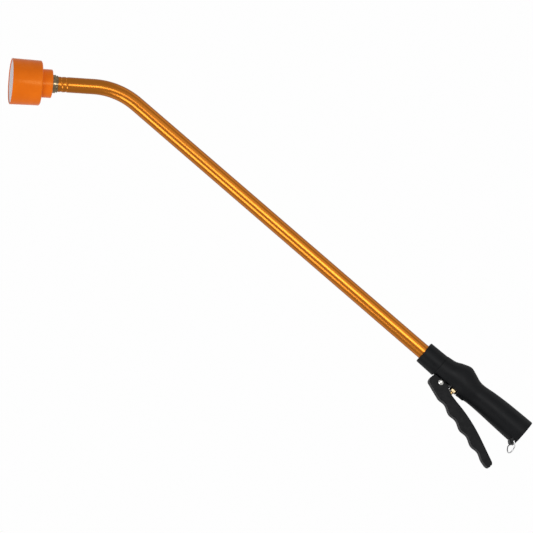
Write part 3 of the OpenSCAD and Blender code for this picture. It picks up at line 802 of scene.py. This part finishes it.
def build_hose_thread():
    """The ridges of the female hose thread, which stand inwards from the bore's wall."""
    pitch, per_turn, margin, fade_turns = 2.21, 96, 1.3, 0.35
    root_half, crest_half, least_rise, more_rise = 0.85, 0.16, 0.15, 0.85
    length = THREAD_DEPTH - 2 * margin
    turns = length / pitch
    count = int(turns * per_turn) + 1
    root_r = THREAD_R + 0.08
    verts = []
    for i in range(count):
        f = i / (turns * per_turn)
        fade = min(1.0, f * turns / fade_turns, (1 - f) * turns / fade_turns)
        a = 2 * math.pi * turns * f
        x = -margin - length * f
        crest_r = THREAD_R - (least_rise + more_rise * fade)
        ridge = ((-root_half, root_r), (-crest_half, crest_r), (crest_half, crest_r), (root_half, root_r))
        for dx, r in ridge:
            verts.append(Vector((x + dx, r * math.cos(a), r * math.sin(a))) * MM)
    thread = make_object("hose_thread", verts, bands(count, 4) + end_caps(count, 4), 30)
    return place(thread, MATERIALS["body_black"], "body_black", "wand")


# ---------------------------------------------------------------- studio


def build_studio():
    """A pale dome with a flat floor, seen by the camera only, so that it casts no glow on the wand."""
    radius, floor_z = 25.0, -14.0
    sides, rings = 64, 24
    verts = []
    low = math.asin(floor_z / radius)
    for k in range(rings + 1):
        e = low + (math.pi / 2 - low) * k / rings
        for i in range(sides):
            a = 2 * math.pi * i / sides
            verts.append((radius * math.cos(e) * math.cos(a), radius * math.cos(e) * math.sin(a),
                          radius * math.sin(e)))
    floor = tuple(range(sides))
    studio = make_object("studio_floor", verts, [*bands(rings + 1, sides), floor])
    mat = bpy.data.materials.new("studio_pale")
    mat.use_nodes = True
    tree = mat.node_tree
    glow = tree.nodes.new("ShaderNodeEmission")
    glow.inputs["Color"].default_value = (0.99, 0.99, 0.99, 1)
    tree.links.new(glow.outputs[0], next(n for n in tree.nodes if n.type == "OUTPUT_MATERIAL").inputs[0])
    studio.data.materials.append(mat)
    for ray in ("diffuse", "glossy", "transmission", "volume_scatter", "shadow"):
        setattr(studio, "visible_" + ray, False)


# The main view: its aim, and its distance and width there, in metres, and its angles in degrees.
AIM = Vector((-0.37367, 0.0, -0.05112))
VIEW_AZ, VIEW_EL, VIEW_DISTANCE, VIEW_WIDTH = -1.0, -11.5, 10.0, 0.65462
ROLL_DEG = 40.59
SENSOR_MM = 36.0


def view_axes():
    """The camera's back, level right and upright axes at the main view."""
    a, e = math.radians(VIEW_AZ), math.radians(VIEW_EL)
    back = Vector((math.sin(a) * math.cos(e), -math.cos(a) * math.cos(e), math.sin(e)))
    right = Vector((math.cos(a), math.sin(a), 0))
    return back, right, back.cross(right)


def build_camera():
    """A long lens from the front, a little below, rolled so that the wand lies across the picture."""
    back, right, up = view_axes()
    roll = math.radians(ROLL_DEG)
    x = right * math.cos(roll) + up * math.sin(roll)
    y = -right * math.sin(roll) + up * math.cos(roll)
    data = bpy.data.cameras.new("camera")
    data.sensor_width = SENSOR_MM
    data.lens = SENSOR_MM * VIEW_DISTANCE / VIEW_WIDTH
    data.clip_start, data.clip_end = 0.1, 60.0
    cam = bpy.data.objects.new("camera", data)
    rot = Matrix((x, y, back)).transposed().to_4x4()
    cam.matrix_world = Matrix.Translation(AIM + back * VIEW_DISTANCE) @ rot
    bpy.context.scene.collection.objects.link(cam)
    bpy.context.scene.camera = cam


def softbox(name, angle_deg, x, distance, long_side, short_side, power, lean_deg):
    """A rectangular lamp with its long side along the wand, over the place x. angle_deg turns it from the
    camera's direction up over the wand, and lean_deg turns its long side up at the right."""
    back, right, up = view_axes()
    a = math.radians(angle_deg)
    away = back * math.cos(a) + up * math.sin(a)
    data = bpy.data.lights.new(name, "AREA")
    data.shape = "RECTANGLE"
    data.size, data.size_y = long_side, short_side
    data.energy = power
    lamp = bpy.data.objects.new(name, data)
    target = Vector((x, 0, -0.01))
    rot = Matrix((right, away.cross(right), away)).transposed().to_4x4()
    lean = Matrix.Rotation(math.radians(lean_deg), 4, "Z")
    lamp.matrix_world = Matrix.Translation(target + away * distance) @ rot @ lean
    lamp.visible_camera = False
    bpy.context.scene.collection.objects.link(lamp)


# Each lamp's name, angle in degrees, x, distance, long side and short side in metres, power in watts and
# lean in degrees. The first three draw the streaks along the tube, and the others are soft light all round.
LAMPS = [
    ("key_handle", 14, -0.20, 1.2, 0.46, 0.40, 3.3, 0),
    ("key_head", -46, -0.58, 1.2, 0.66, 0.36, 3.8, 0),
    ("key_bend", 9, -0.49, 1.2, 0.20, 0.25, 0.7, 38),
    ("front", 42, 0.05, 3.0, 1.4, 1.7, 4.5, 0),
    ("over", 100, -0.35, 2.0, 1.8, 0.8, 2, 0),
    ("under", -110, -0.35, 2.0, 1.8, 0.8, 2, 0),
    ("behind", 180, -0.35, 2.6, 2.0, 1.4, 8, 0),
]
SKY_STRENGTH = 0.51


def build_lights():
    """The lamps, and an even white sky."""
    for lamp in LAMPS:
        softbox(*lamp)
    world = bpy.data.worlds.new("studio_air")
    world.use_nodes = True
    sky = next(n for n in world.node_tree.nodes if n.type == "BACKGROUND")
    sky.inputs[0].default_value = (1, 1, 1, 1)
    sky.inputs[1].default_value = SKY_STRENGTH
    bpy.context.scene.world = world


# ---------------------------------------------------------------- build

SOFT_EDGES_MM = {"packing_nut": 0.25, "lever_pin_cap": 0.35, "spring_cap": 0.3, "breaker_face": 0.12}

paint_cad_nodes()
build_camera()
build_studio()
build_lights()
build_breaker_body()
build_nipple()
build_tube()
build_collar()
build_sleeve()
build_lever()
build_clip()
build_spring()
build_hose_thread()
for node, width_mm in SOFT_EDGES_MM.items():
    soft_edges(node, width_mm)
bpy.context.scene.view_settings.view_transform = "Standard"
